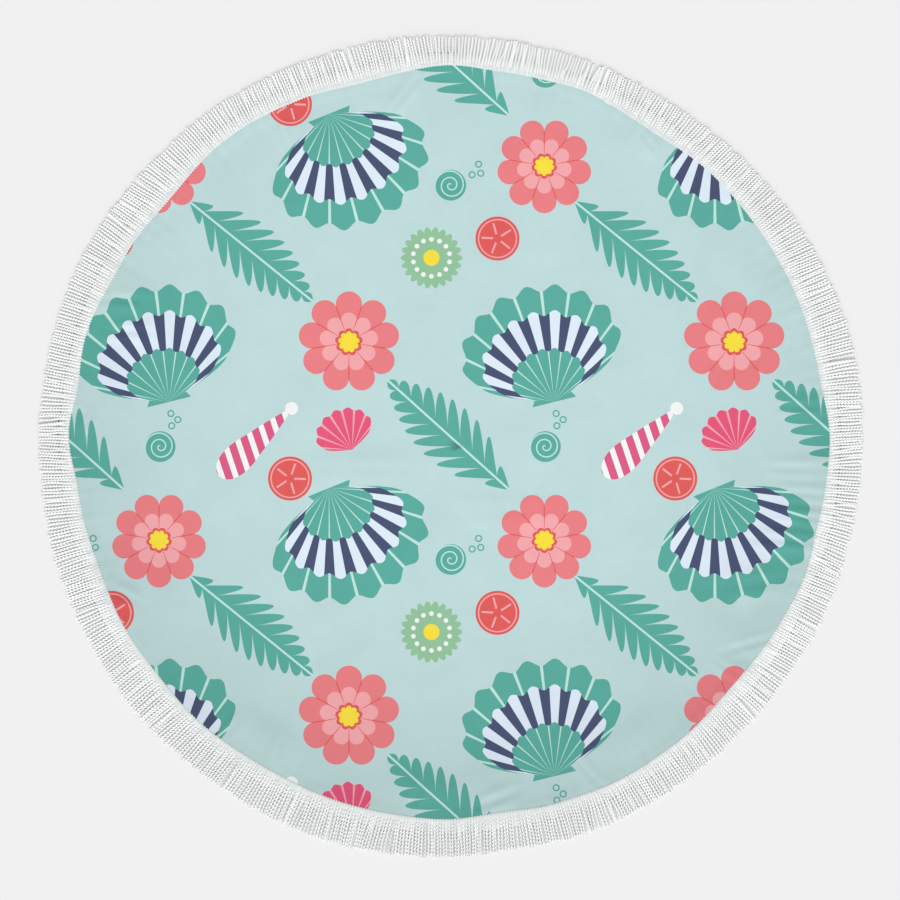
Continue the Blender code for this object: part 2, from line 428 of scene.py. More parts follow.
# %% Frond and sea flower
FROND_OUTLINE = ((0.0, 0.05), (0.12, 0.14), (0.35, 0.34), (0.6, 0.36), (0.85, 0.2), (1.0, 0.0))
FROND_LEAVES = 5.0  # to each half of its length
FROND_END = 0.99
LEAF_SLANT = 0.95
LEAF_SHARPNESS = 0.55
LEAF_DEPTH = 0.9  # share of the width by which the gaps go in
MIDRIB = 0.013
PETALS = 9
PETAL_SHARPNESS = 0.45
PETAL_DEPTH = 0.3
PARTING = (0.33, 0.27)  # its width, and where it starts from the middle
FLOWER_RINGS = ((0.0, "yellow"), (0.21, "coral red"), (0.27, "light pink"), (0.58, "salmon"))


def frond(spot):
    side = spot.math("ABSOLUTE", spot.x)
    slant = spot.math("MULTIPLY_ADD", side, -LEAF_SLANT, spot.y)
    wave = spot.wave("SINE", slant, math.pi * FROND_LEAVES)
    leaf = spot.math("POWER", spot.math("ABSOLUTE", wave), LEAF_SHARPNESS)
    filled = spot.math("MULTIPLY_ADD", leaf, LEAF_DEPTH, 1.0 - LEAF_DEPTH)
    reach = spot.math("MULTIPLY", long_outline(spot, FROND_OUTLINE), filled)
    inside = spot.math("COMPARE", spot.y, 0.0, FROND_END)
    shape = spot.math("MULTIPLY", spot.below(side, reach), inside)
    return spot.over(INK["teal"], INK["pale line"], spot.below(side, MIDRIB)), shape


def sea_flower(spot):
    wave = spot.wave("COSINE", spot.angle, PETALS / 2)
    petal = spot.math("POWER", spot.math("ABSOLUTE", wave), PETAL_SHARPNESS)
    reach = spot.math("MULTIPLY_ADD", petal, PETAL_DEPTH, 1.0 - PETAL_DEPTH)
    share = spot.math("DIVIDE", spot.radius, reach)
    rings = [(place, INK[name]) for place, name in FLOWER_RINGS]
    colour = add_node(spot.tree, "ValToRGB", {0: share}, stops=rings)
    width, start = PARTING
    partings = spot.math(
        "MULTIPLY", spot.below(petal, width), spot.math("GREATER_THAN", share, start)
    )
    return spot.over(colour, INK["coral red"], partings), spot.below(spot.radius, reach)


# %% Sand dollar and urchin
SLOTS = 5
SLOT_WIDTH = 0.11
SLOT_LENGTH = (0.46, 0.26)  # middle and half length
DOLLAR_RIM = (0.86, 0.03)  # middle and half width
URCHIN_SPINES = 22
SPINE_DEPTH = 0.16
PEARLS = 14
PEARL_RING = 0.60
PEARL_SIZE = 0.075
URCHIN_HEART = 0.26


def sand_dollar(spot):
    star = spot.math("ABSOLUTE", spot.wave("SINE", spot.angle, SLOTS / 2))
    slots = spot.below(spot.math("MULTIPLY", star, spot.radius), SLOT_WIDTH)
    slots = spot.math("MULTIPLY", slots, spot.math("COMPARE", spot.radius, *SLOT_LENGTH))
    lines = spot.math("MAXIMUM", slots, spot.math("COMPARE", spot.radius, *DOLLAR_RIM))
    return spot.over(INK["coral red"], INK["light pink"], lines), spot.below(spot.radius, 1.0)


def urchin(spot):
    wave = spot.math("ABSOLUTE", spot.wave("SINE", spot.angle, URCHIN_SPINES / 2))
    reach = spot.math("MULTIPLY_ADD", wave, SPINE_DEPTH, 1.0 - SPINE_DEPTH)
    step = math.pi / PEARLS
    sideways = spot.math("MULTIPLY", spot.math("WRAP", spot.angle, step, -step), PEARL_RING)
    outwards = spot.math("SUBTRACT", spot.radius, PEARL_RING)
    square = spot.math("MULTIPLY", outwards, outwards)
    square = spot.math("MULTIPLY_ADD", sideways, sideways, square)
    colour = spot.over(INK["pale green"], INK["white"], spot.below(square, PEARL_SIZE**2))
    colour = spot.over(colour, INK["yellow"], spot.below(spot.radius, URCHIN_HEART))
    return colour, spot.below(spot.radius, reach)


# %% [markdown]
# ## The layout of the repeat
# Two shells lie half a repeat apart and look in opposite directions, as on a print that has no
# upper end. The flowers stand in the other two quarters, the fronds lie between them, and the
# small motifs fill the gaps, with open ground round each. Places are metres from the cloth's
# middle.

# %% Lay the print
MOTIFS = (
    # drawing, middle, turn in degrees, size, shift of the drawing along its own axis
    (fan_shell, (0.165, 0.175), 14, 0.215, 0.45),
    (fan_shell, (-0.185, -0.165), -158, 0.215, 0.45),
    (sea_flower, (-0.185, 0.190), 0, 0.092, 0.0),
    (sea_flower, (0.170, -0.170), 20, 0.086, 0.0),
    (frond, (-0.005, 0.022), 48, 0.150, 0.0),
    (frond, (0.338, -0.326), -129, 0.145, 0.0),
    (auger, (0.345, 0.008), -47, 0.090, 0.0),
    (urchin, (-0.035, -0.337), 0, 0.056, 0.0),
    (sand_dollar, (0.085, -0.302), 15, 0.040, 0.0),
    (sand_dollar, (-0.292, -0.058), -20, 0.040, 0.0),
    (cockle, (-0.195, 0.030), 24, 0.078, 0.5),
    (periwinkle, (0.172, 0.000), 0, 0.028, 0.0),
    (periwinkle, (0.000, -0.205), -35, 0.028, 0.0),
)


def print_colour(tree, flat):
    """The colour of the whole print: the ground, and one motif after another laid over it."""
    colour = INK["mint ground"]
    for drawing, middle, turn, size, shift in MOTIFS:
        spot = Spot(tree, flat, middle, turn, size, shift)
        motif, shape = drawing(spot)
        colour = spot.over(colour, motif, shape)
    return colour


print(len(MOTIFS), "motifs in each repeat")

# %% [markdown]
# ## The finish of the cloth
# Real microfibre is woven from threads of about 0.4 mm and brushed, so it is quite matt with a
# soft sheen at grazing angles. The dye doesn't take evenly, which a faint large noise gives.
# Painted shade makes it palest above the middle and darker towards the rim, most of all at the
# lower side.
# The weave would be too fine to see, so its checks are drawn 3 mm wide and very shallow.

# %% Cloth materials
WEAVE_PITCH = 0.003  # metres, coarser than the real 0.4 mm so that it shows
WEAVE_DEPTH = 0.00010
DYE_PATCH = 0.11  # metres
DYE_SHARE = 0.06
DYE_NOISE = {"Scale": 1 / DYE_PATCH, "Detail": 4.0, "Roughness": 0.75}
DYE_RANGE = {"From Min": 0.3, "From Max": 0.7, "To Min": 1 - DYE_SHARE, "To Max": 1.0}
PALEST = (0.01, 0.15)  # metres from the middle, where the painted shade is least
UNSHADED_REACH = 0.32  # metres from there, past which painted shade darkens the tone
RIM_SHADE = 0.69  # painted shade: times the square of the metres past it
CLOTH_FINISH = {
    "Roughness": 0.82,
    "IOR": 1.5,
    "Specular IOR Level": 0.25,
    "Sheen Weight": 0.08,
    "Sheen Roughness": 0.5,
}
REVERSE_COLOUR = linear("#E4EDEC")


def weave_bump(tree, flat):
    """A plain weave: raised where warp and weft pass over each other in turn."""
    crossing = vector(tree, "MULTIPLY", flat, (math.tau / WEAVE_PITCH,) * 3)
    warp = add_node(tree, "SeparateXYZ", {0: vector(tree, "SINE", crossing)})
    height = calc(tree, "MULTIPLY", warp, warp.node.outputs["Y"])
    return add_node(tree, "Bump", {"Height": height, "Distance": WEAVE_DEPTH, "Strength": 0.6})


def finish_cloth(name, paint):
    """A brushed microfibre. paint(tree, flat) gives its colour."""
    material, tree, shader = new_material(name)
    flat = add_node(tree, "UVMap", uv_map=FLAT_MAP)
    colour = paint(tree, flat)
    patches = add_node(tree, "TexNoise", {"Vector": flat, **DYE_NOISE})
    tone = add_node(tree, "MapRange", {"Value": patches, **DYE_RANGE})
    # Painted shade: the tone darkens with the square of the distance past a ring round a spot
    # above the middle.
    away = vector(tree, "DISTANCE", flat, (*PALEST, 0.0), output="Value")
    past = calc(tree, "SUBTRACT", away, UNSHADED_REACH, use_clamp=True)
    rim_shaded = calc(tree, "MULTIPLY_ADD", calc(tree, "MULTIPLY", past, past), -RIM_SHADE, 1.0)
    tone = calc(tree, "MULTIPLY", tone, rim_shaded)
    dyed = add_node(tree, "VectorMath", {0: colour, "Scale": tone}, operation="SCALE")
    fill(shader, {"Base Color": dyed, "Normal": weave_bump(tree, flat), **CLOTH_FINISH})
    return material


printed_side = finish_cloth("microfibre, printed side", print_colour)
reverse_side = finish_cloth(
    "microfibre, reverse", lambda tree, flat: blend(tree, 0.5, REVERSE_COLOUR, INK["white"])
)
print("nodes in the printed side:", len(printed_side.node_tree.nodes))

# %% [markdown]
# ## The sheet
# The cloth is a round sheet with rings of points, denser at its rim where the folds are. Each
# ring is a circle on a cone, as high up as its share of the flat radius, so that neighbours of
# any size bridge without a twist. The rings past the edge are the hem, which turns under.

# %% Make the flat sheet
CLOTH_THICKNESS = 0.0008
CLOTH_REST = 0.0001  # the gap to what it lies on
HEM_WIDTH = 0.013
HEM_BEND = 0.00045  # radius of the turned edge
HEM_RINGS = (0.0007, 0.0014, 0.005, 0.009, HEM_WIDTH)  # metres of cloth past the edge
ZONES = (
    # share of the edge's radius at the outer ring, rings from there inwards, sides
    (1.00, 32, 800),
    (0.80, 24, 400),
    (0.48, 26, 200),
)
INNERMOST = 0.02
ON_RING = 1e-5
MEAN_EDGE = float(cloth_line.mean())


def ring_shares():
    """Share of the edge's radius and sides of each ring, from the hem inwards."""
    rows = [(1.0 + past / MEAN_EDGE, ZONES[0][2]) for past in reversed(HEM_RINGS)]
    ends = [zone[0] for zone in ZONES[1:]] + [INNERMOST]
    for (outer, count, sides), inner in zip(ZONES, ends, strict=True):
        rows += [(outer + (inner - outer) * step / count, sides) for step in range(count)]
    return rows + [(INNERMOST, ZONES[-1][2])]


def stacked_ring(bm, share, sides, capped=False):
    """A circle of edges on the cone."""
    made = bmesh.ops.create_circle(
        bm,
        cap_ends=capped,
        cap_tris=capped,
        segments=sides,
        radius=share,
        matrix=Matrix.Translation((0.0, 0.0, share)),
    )
    edges = {edge for vert in made["verts"] for edge in vert.link_edges}
    return [edge for edge in edges if len(edge.link_faces) < 2
            and all(abs(end.co.xy.length - share) < ON_RING for end in edge.verts)]


def flat_sheet():
    bm = bmesh.new()
    rows = ring_shares()
    outer = stacked_ring(bm, *rows[0])
    for number, (share, sides) in enumerate(rows[1:], start=2):
        inner = stacked_ring(bm, share, sides, capped=number == len(rows))
        bmesh.ops.bridge_loops(bm, edges=outer + inner)
        outer = inner
    bmesh.ops.recalc_face_normals(bm, faces=bm.faces)
    middle = min(bm.faces, key=lambda face: face.calc_center_median().xy.length)
    if middle.normal.z < 0:
        bmesh.ops.reverse_faces(bm, faces=bm.faces[:])
    return bm


sheet_mesh = flat_sheet()
print("sheet:", len(sheet_mesh.verts), "points,", len(sheet_mesh.faces), "faces")

# %% [markdown]
# ## The folds
# The frame gives the broad folds. The sharper creases are listed one by one, each a sunk line
# between two low banks, with its own length and width. The sewn rim gathers the cloth into fine
# ripples that die away from the seam, and the rest of it is never quite flat.

# %% Creases, ripples and unevenness
CREASES = (
    # angle, radius, turn from the radial direction, half length, half width, height: the first
    # and the third in degrees, the others in mm
    # right
    (-15.6, 632, 12, 90, 14, 2.8),
    (-11.3, 650, 5, 80, 11, 2.4),
    (-7.6, 648, 4, 75, 12, 2),
    (-3.6, 625, 2, 75, 13, 1.8),
    (6.5, 640, -6, 70, 14, 1.4),
    # lower right
    (-33.3, 653, 50, 80, 12, 2.2),
    (-38.5, 655, 6, 60, 10, 1.8),
    (-24.0, 610, 28, 110, 20, 1.6),
    # upper right
    (57.0, 660, 68, 45, 8, 1.3),
    (55.0, 655, 20, 35, 7, 1.1),
    # top
    (97.5, 645, -45, 80, 10, 1.7),
    (118.0, 660, -12, 55, 9, 1.5),
    # left
    (156.0, 656, 22, 70, 13, 2.2),
    (160.4, 624, 18, 70, 13, 2),
    (176.5, 664, 58, 45, 7, 1.5),
    (208.0, 628, 88, 130, 46, 2.4),
    (204.6, 651, -51, 50, 14, 2.4),
    # bottom
    (241.0, 650, 15, 55, 11, 1.8),
    (232.0, 655, -10, 45, 10, 1.8),
    (264.0, 645, -25, 55, 12, 1.8),
    (277.4, 646, -76, 65, 15, 3),
    (293.0, 650, 18, 60, 11, 1.8),
    # low at the right, broad
    (333.0, 628, 92, 120, 46, 2),
    # middle
    (-52.7, 148, 53, 170, 16, 1.2),
    (194.0, 170, -14, 150, 18, 0.6),
)
MM = 0.001
BANKS = 2.2  # widths of a crease over which the cloth stands up on both sides of it
BANK_SHARE = 1.5  # of a crease's height, so that its banks come out about as high
RIPPLE_HEIGHT = 0.0017
RIPPLE_FADE = 0.036  # metres from the seam
RIPPLES = 14  # waves that are summed
RIPPLE_COUNTS = (60, 210)  # crests of a wave, round the towel
LUMP_HEIGHT = 0.0016
LUMPS = 16
LUMP_LENGTHS = (0.07, 0.30)  # metres
SMOOTHING_PASSES = 14
CLOTH_SEED = 5


def from_polar(angles, radius):
    turn = np.radians(angles)
    return radius * np.cos(turn), radius * np.sin(turn)


def swell(distance, half_spread):
    """A soft bump: 1 in the middle, 0 from half_spread outwards."""
    return 0.5 * (1.0 + np.cos(np.pi * np.minimum(np.abs(distance) / half_spread, 1.0)))


def smooth_step(value, low, high):
    share = np.clip((value - low) / (high - low), 0.0, 1.0)
    return share * share * (3.0 - 2.0 * share)


def wave_sum(angles, waves, counts, seed):
    """A sum of waves round the towel, each with its own number of crests."""
    chance = np.random.default_rng(seed)
    turn = np.radians(angles)
    total = np.zeros_like(turn)
    for _ in range(waves):
        total += np.sin(chance.integers(*counts) * turn + chance.uniform(0, math.tau))
    return total


def creases(x, y):
    """The sharper creases. Past the seam they keep the height that the stitches hold them at."""
    bearing, held = polar(x, y)
    x, y = from_polar(bearing, np.minimum(held, around(seam_line, bearing)) / MM)
    total = np.zeros_like(x)
    for angle, radius, turn, half_length, half_width, height in CREASES:
        place, run = math.radians(angle), math.radians(angle + turn)
        dx, dy = x - radius * math.cos(place), y - radius * math.sin(place)
        along = dx * math.cos(run) + dy * math.sin(run)
        across = dy * math.cos(run) - dx * math.sin(run)
        section = swell(across, BANKS * half_width) - swell(across, half_width)
        total += BANK_SHARE * height * swell(along, half_length) * section
    return MM * total


def ripples(x, y):
    """Fine gathers along the seam, between 0 and RIPPLE_HEIGHT."""
    bearing, radius = polar(x, y)
    mean = wave_sum(bearing, RIPPLES, RIPPLE_COUNTS, CLOTH_SEED) / RIPPLES
    from_seam = around(seam_line, bearing) - radius
    fade = np.exp(-np.maximum(from_seam, 0.0) / RIPPLE_FADE)
    return RIPPLE_HEIGHT * fade * np.clip(0.5 + mean, 0.0, 1.0)


def lumps(x, y):
    """Broad unevenness all over, between 0 and LUMP_HEIGHT."""
    chance = np.random.default_rng(CLOTH_SEED + 1)
    total = np.zeros_like(x)
    for _ in range(LUMPS):
        run, length = chance.uniform(0, math.tau), chance.uniform(*LUMP_LENGTHS)
        wave = (x * math.cos(run) + y * math.sin(run)) * math.tau / length
        total += np.sin(wave + chance.uniform(0, math.tau))
    return LUMP_HEIGHT * np.clip(0.5 + total / LUMPS, 0.0, 1.0)


# %% Place the sheet on its folds
HEM_STEP = 0.016  # metres over which the cloth climbs onto its own hem


def move_points(bm, x, y, z):
    for vert, *place in zip(bm.verts, x, y, z, strict=True):
        vert.co = place


def lay_sheet(bm):
    """Moves each point of the flat sheet to its place, and returns its flat coordinates."""
    x, y, share = points_of(bm.verts)
    angles, _ = polar(x, y)
    edge = around(cloth_line, angles)
    past = np.maximum(share - 1.0, 0.0) * MEAN_EDGE
    flat_radius = np.where(share > 1.0, edge + past, share * edge)
    bend = np.minimum(past / HEM_BEND, math.pi)
    under = np.maximum(past - math.pi * HEM_BEND, 0.0)
    radius = np.minimum(flat_radius, edge) + HEM_BEND * np.sin(bend) - under
    x, y = from_polar(angles, radius)
    move_points(bm, x, y, [slab_top(*place) - SLAB_THICKNESS for place in zip(x, y)])
    for _ in range(SMOOTHING_PASSES):
        bmesh.ops.smooth_vert(bm, verts=bm.verts[:], factor=0.5, use_axis_z=True)
    lift = points_of(bm.verts)[2] + creases(x, y) + ripples(x, y) + lumps(x, y)
    climb = 2 * HEM_BEND * smooth_step(radius, edge - HEM_WIDTH - HEM_STEP, edge - HEM_WIDTH)
    z = lift + CLOTH_REST + CLOTH_THICKNESS / 2 + climb - HEM_BEND * (1.0 - np.cos(bend))
    move_points(bm, x, y, z)
    return from_polar(angles, flat_radius)


def add_flat_map(mesh, across, along, name):
    """A UV map that holds lengths in metres, so that a pattern keeps its real size."""
    corners = np.empty(len(mesh.loops), dtype=np.int32)
    mesh.loops.foreach_get("vertex_index", corners)
    values = np.stack([across[corners], along[corners]], axis=1)
    mesh.uv_layers.new(name=name).data.foreach_set("uv", values.ravel())


def finished_piece(name, bm, *materials):
    """An object at the origin, smoothly shaded, that rides on the towel's one body."""
    mesh = bpy.data.meshes.new(name)
    bm.to_mesh(mesh)
    bm.free()
    mesh.shade_smooth()
    for material in materials:
        mesh.materials.append(material)
    piece = bpy.data.objects.new(name, mesh)
    bpy.context.scene.collection.objects.link(piece)
    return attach(piece, "root")


flat_x, flat_y = lay_sheet(sheet_mesh)
cloth = finished_piece("printed_sheet", sheet_mesh, printed_side, reverse_side)
add_flat_map(cloth.data, flat_x, flat_y, FLAT_MAP)
wall = cloth.modifiers.new("thickness", "SOLIDIFY")
wall.thickness = CLOTH_THICKNESS
wall.offset = 0.0
wall.material_offset = 1
wall.material_offset_rim = 1
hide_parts("printed_cloth")
tell_span("sheet's height", points_of(cloth.data.vertices)[2])


# %% [markdown]
# ## The heading
# The heading is the woven band that the yarns hang from. It is sewn on top of the rim, so it
# laps over the cloth's hem and stands on the floor outside it. This piece is its ground: a
# section is spun round once, its corners stacked one to a level, and each corner is then moved
# to its place at that angle. The yarns' inner ends cross it later as low ribs.

# %% Make the heading
HEADING_STEPS = 960
HEADING_MAP = "along_the_heading"
FULL_WIDTH = 0.009  # below this the heading's details are drawn in
SEAT = 0.0002  # above what it lies on
HEADING_SECTION = (
    # share of the heading's width, mm further out, mm above its seat
    (0, 0.2, 0),
    (0, 0.4, 0.2),
    (0, 1, 0.4),
    (0, 1.8, 0.5),
    (0, 2.8, 0.6),
    (0, 4, 0.6),
    (0.5, 0.6, 0.5),
    (0.85, 0, 0.2),
    (1, 3, -0.5),
    (1, 9, -1.2),
    (1, 16, -1.8),
)
SEWN_AT = 4  # the place in the section where the stitches run
INSIDE_SEAM = 0.001  # metres, where the cloth's height under the heading is read
FOOT_REACH = 0.0165  # metres past the yarns' line, where the ground ends on the floor
MAP_RADIUS = 0.69  # metres, of the circle that the ribs are spaced on
HEADING_WAVES = 9
SWELLING, SWELLING_COUNTS = 0.12, (30, 160)  # share of its height, and crests round the towel
WOBBLE, WOBBLE_COUNTS = 0.00018, (40, 220)  # metres, and crests round the towel
HEADING_SEED = 9


def read_rim():
    """How high the sheet's upper side is under the heading's inner edge."""
    tree = BVHTree.FromObject(cloth, bpy.context.evaluated_depsgraph_get())
    angles = np.arange(HEADING_STEPS) * 360.0 / HEADING_STEPS
    places = zip(*from_polar(angles, around(seam_line, angles) - INSIDE_SEAM))
    return np.array([height_at(tree, *place) for place in places])


rim_top = read_rim()
tell_span("rim's upper side", rim_top)


def unevenness(angles, counts, seed):
    """A sum of waves round the towel, about -1 to 1."""
    return wave_sum(angles, HEADING_WAVES, counts, seed) / math.sqrt(HEADING_WAVES)


def spun_section(levels, steps):
    """A stack of corners, one to a level, spun all round."""
    bm = bmesh.new()
    stack = [bm.verts.new((1.0, 0.0, level)) for level in range(levels)]
    sides = [bm.edges.new((stack[level - 1], stack[level])) for level in range(levels)]
    bmesh.ops.spin(
        bm,
        geom=stack + sides,
        cent=(0.0, 0.0, 0.0),
        axis=(0.0, 0.0, 1.0),
        angle=math.tau,
        steps=steps,
        use_merge=True,
    )
    return bm


def heading_band(material):
    """The section's corners, and three more below: on the floor outside the cloth's edge, and
    under the step in which that edge lies. Returns the piece, and the places along and across."""
    foot, step_foot, step_top = (len(HEADING_SECTION) + extra for extra in range(3))
    bm = spun_section(step_top + 1, HEADING_STEPS)
    x, y, level = points_of(bm.verts)
    level = np.round(level).astype(int)
    angles, _ = polar(x, y)
    seam, edge, line = (around(row, angles) for row in (seam_line, cloth_line, yarn_line))
    seat = around(rim_top, angles) + SEAT
    width = line - seam
    shares, further, heights = np.array(HEADING_SECTION + ((0, 0, 0),) * 3).T
    fit = np.minimum(1.0, width / FULL_WIDTH)
    radius = seam + shares[level] * width + MM * further[level] * fit
    radius = np.where(level == foot, line + FOOT_REACH, radius)
    radius = np.where(level >= step_foot, edge + HEM_BEND + CLOTH_THICKNESS, radius)
    swelling = 1.0 + SWELLING * unevenness(angles, SWELLING_COUNTS, HEADING_SEED)
    z = seat + MM * heights[level] * swelling
    z += WOBBLE * unevenness(angles, WOBBLE_COUNTS, HEADING_SEED + 1)
    z = np.where((level == foot) | (level == step_foot), CLOTH_REST, z)
    z = np.where((level == step_top) | (level == 0), seat, z)
    move_points(bm, *from_polar(angles, radius), z)
    bmesh.ops.recalc_face_normals(bm, faces=bm.faces)
    along = np.radians(angles) * MAP_RADIUS
    return finished_piece("fringe_heading", bm, material), along, radius - seam


# %% [markdown]
# Heading and yarns are bleached cotton: nearly white, quite matt, with fine fibres that scatter
# light at grazing angles. The heading is woven in fine ribs across its length. Real ribs are
# about 1 mm apart, and here they are 2 mm apart so that they show.

# %% Cotton materials
RIB_PITCH = 0.002
RIB_DEPTH = 0.0002
FIBRE_SIZE = 0.0007
FIBRE_DEPTH = 0.0002
TAPE_PATCH = 0.02
COTTON_FINISH = {
    "Roughness": 0.9,
    "Specular IOR Level": 0.2,
    "Sheen Weight": 0.15,
    "Sheen Roughness": 0.6,
}


def cotton(name, dark, pale, tone):
    """Bleached cotton. tone(tree) gives a value from 0 to 1 between the dark and the pale."""
    material, tree, shader = new_material(name)
    colour = blend(tree, tone(tree), linear(dark), linear(pale))
    fill(shader, {"Base Color": colour, **COTTON_FINISH})
    return material, tree, shader


def soft_noise(tree, size):
    place = add_node(tree, "TexCoord", output="Object")
    return add_node(tree, "TexNoise", {"Vector": place, "Scale": 1 / size, "Detail": 3.0})


def roughen(tree, shader, height, depth):
    """A fine relief, whose height is a node's output."""
    bump = add_node(tree, "Bump", {"Height": height, "Distance": depth, "Strength": 0.5})
    fill(shader, {"Normal": bump})


tape, tree, shader = cotton(
    "bleached cotton tape", "#D4D9D9", "#DDE2E2", lambda tree: soft_noise(tree, TAPE_PATCH)
)
along = add_node(tree, "SeparateXYZ", {0: add_node(tree, "UVMap", uv_map=HEADING_MAP)})
ribs = calc(tree, "SINE", calc(tree, "MULTIPLY", along, math.tau / RIB_PITCH))
roughen(tree, shader, ribs, RIB_DEPTH)

heading, along_it, across_it = heading_band(tape)
add_flat_map(heading.data, along_it, across_it, HEADING_MAP)
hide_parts("fringe_trim")
print("heading:", len(heading.data.polygons), "faces")

# %% [markdown]
# ## One yarn
# A yarn is two plies twisted together. Its section is the two plies with a groove between them,
# eight corners in all. It is extruded ring by ring and turned a little each time, so the twist
# is a real shape. Its first rings lie in the heading, where the weave holds it without a twist.

# %% Make one twisted yarn
YARNS = 816
QUARTERS = 4
PLY_RADIUS = 0.00152
PLY_OFFSET = 0.00118  # from the yarn's axis to a ply's
PLY_CORNERS = (-70, 0, 70)  # degrees, round each ply
GROOVE = 0.00070  # from the yarn's axis to the groove between the plies
TWISTS = 4.8  # full turns of its free length
HEADING_RINGS = ((0.0, 0.40), (0.016, 0.85), (0.05, 1.0), (0.095, 1.0))  # place, width, as shares
FREE_FROM = 0.14  # share of its length
FREE_RINGS = 37
END_TAPER = (1.0, 0.92, 0.60)  # widths of the last rings
HALF_WIDTH = PLY_RADIUS + PLY_OFFSET


def yarn_rings():
    """Place, width and turn of each ring along a yarn."""
    rings = [(place, width, 0.0) for place, width in HEADING_RINGS]
    widths = [1.0] * (FREE_RINGS - len(END_TAPER)) + list(END_TAPER)
    for number, width in enumerate(widths):
        share = number / (FREE_RINGS - 1)
        rings.append((FREE_FROM + (1.0 - FREE_FROM) * share, width, math.tau * TWISTS * share))
    return rings


def one_yarn():
    """A straight yarn from x = 1 to x = 2, with its real width and depth."""
    bm = bmesh.new()
    rings = yarn_rings()
    first_width = rings[0][1]
    section = []
    for side in (1, -1):
        for corner in map(math.radians, PLY_CORNERS):
            y = side * (PLY_OFFSET + PLY_RADIUS * math.cos(corner))
            z = side * PLY_RADIUS * math.sin(corner)
            section.append(bm.verts.new((1.0, first_width * y, first_width * z)))
        section.append(bm.verts.new((1.0, 0.0, first_width * side * GROOVE)))
    edges = [bm.edges.new((section[place - 1], section[place])) for place in range(len(section))]
    ends = [edges]
    for (place, width, turn), (next_place, next_width, next_turn) in zip(rings, rings[1:]):
        made = bmesh.ops.extrude_edge_only(bm, edges=edges)["geom"]
        verts = [item for item in made if isinstance(item, bmesh.types.BMVert)]
        edges = [item for item in made if isinstance(item, bmesh.types.BMEdge)
                 and all(end in verts for end in item.verts)]
        widen = Matrix.Diagonal((1.0, next_width / width, next_width / width, 1.0))
        twist = Matrix.Rotation(next_turn - turn, 4, "X")
        onwards = Matrix.Translation((next_place - place, 0.0, 0.0))
        bmesh.ops.transform(bm, matrix=onwards @ twist @ widen, verts=verts)
    ends.append(edges)
    for end in ends:
        bmesh.ops.edgeloop_fill(bm, edges=end)
    bmesh.ops.recalc_face_normals(bm, faces=bm.faces)
    return bm


sample = one_yarn()
print("one yarn:", len(sample.verts), "points,", len(sample.faces), "faces")
sample.free()

# %% [markdown]
# ## The whole fringe
# A spin copies the yarn all round a quarter of the rim. Each copy is then laid along its own
# path: it crosses the heading as a low rib, fills out past it, sinks to the floor and leans with
# its neighbours. Broad groups lean as the frame's locks do. Smaller clumps lean on their own, a
# few yarns cross over the others, and the scissors left some shorter. The twists of neighbours
# stay nearly in step. The lower side of a yarn has a darker tone, as its fibres shade each other.

# %% Decide how each yarn lies
LEANS = (
    # middle angle and half spread of a group, and how many mm its ends lie towards larger angles
    (8, 8, -5), (22, 7, 4), (37, 8, 5.5), (52, 7, -5),
    (66, 7, 4), (83, 7, -6), (94, 6, 5), (103, 8, 5.5),
    (120, 8, -4), (140, 11, 6.5), (156, 7, -3), (175, 6, 3),
    (192, 7, -5), (210, 9, 4.5), (227, 7, -5), (241, 7, 5),
    (258, 6, -4), (272, 8, 4), (283, 6, -3), (298, 8, 5),
    (313, 8, -5), (328, 7, 4), (344, 8, -4.5), (356, 6, 4),
)
CLUMP_SIZES = (5, 13)  # yarns
CLUMP_LEAN = 0.0036  # metres at the ends
CLING = 0.05  # share of the way that a clump's ends draw together
END_RADIUS = 0.745  # metres, where the ends lie
STRAY = 0.0003
CROSSING_SHARE = 0.02  # of the yarns, which cross over their neighbours
CROSSING_LEAN = (0.003, 0.007)
CROSSING_HEIGHT = 0.0022
SHORTEST = 0.0035
LONGEST = 0.0012
RIDE_UP = 0.0007  # how much higher some yarns lie than their neighbours
BEND = 0.0005
FREED_SPREAD = 0.0030
TWIST_STEP = (0.45, 0.85)  # radians from one yarn to the next, mean and spread
TONE = (0.94, 0.05)  # mean and spread
SHADED_LOWER_SIDE = (268, 80, 0.15)  # painted shade on the towel's lower side: its middle angle and half spread, and the tone it lacks
FRINGE_SEED = 21


